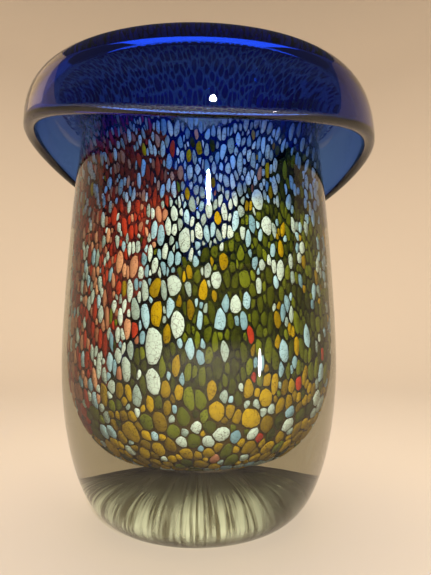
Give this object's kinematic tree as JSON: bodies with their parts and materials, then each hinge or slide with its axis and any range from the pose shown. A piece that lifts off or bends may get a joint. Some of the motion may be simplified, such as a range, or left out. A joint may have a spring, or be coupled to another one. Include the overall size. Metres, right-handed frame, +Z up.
{
  "type": "hand blown art glass vase",
  "caption": "Hand-blown cased glass vase with a turned-down cobalt brim, a body of coloured chips under clear glass, and a heavy clear foot; holds water and flowers.",
  "frame": {"origin": "centre of the flat resting face under the foot", "axes": "+Z up along the axis the vase was turned on, +X to the right seen from the front, the front faces -Y"},
  "size_m": [0.129, 0.1254, 0.15],
  "materials": {
    "clear_glass": "fire-polished clear casing with a faint olive tint",
    "cobalt_glass": "fire-polished transparent cobalt",
    "rust_powder": "fused translucent colour powder",
    "olive_powder": "fused translucent colour powder",
    "white_frit": "opal chips fused under the casing",
    "pale_blue_frit": "opal chips fused under the casing",
    "salmon_frit": "opal chips fused under the casing",
    "red_frit": "opaque chips fused under the casing",
    "amber_frit": "translucent chips fused under the casing",
    "olive_frit": "translucent chips fused under the casing"
  },
  "bodies": {
    "root": {"clear_foot": "clear_glass", "clear_casing": "clear_glass", "clear_collar": "clear_glass", "clear_brim_casing": "clear_glass", "cobalt_lining": "cobalt_glass", "cobalt_throat": "cobalt_glass", "cobalt_brim": "cobalt_glass", "rust_powder": "rust_powder", "olive_powder": "olive_powder", "white_frit": "white_frit", "pale_blue_frit": "pale_blue_frit", "salmon_frit": "salmon_frit", "red_frit": "red_frit", "amber_frit": "amber_frit", "olive_frit": "olive_frit"}
  },
  "joints": []
}
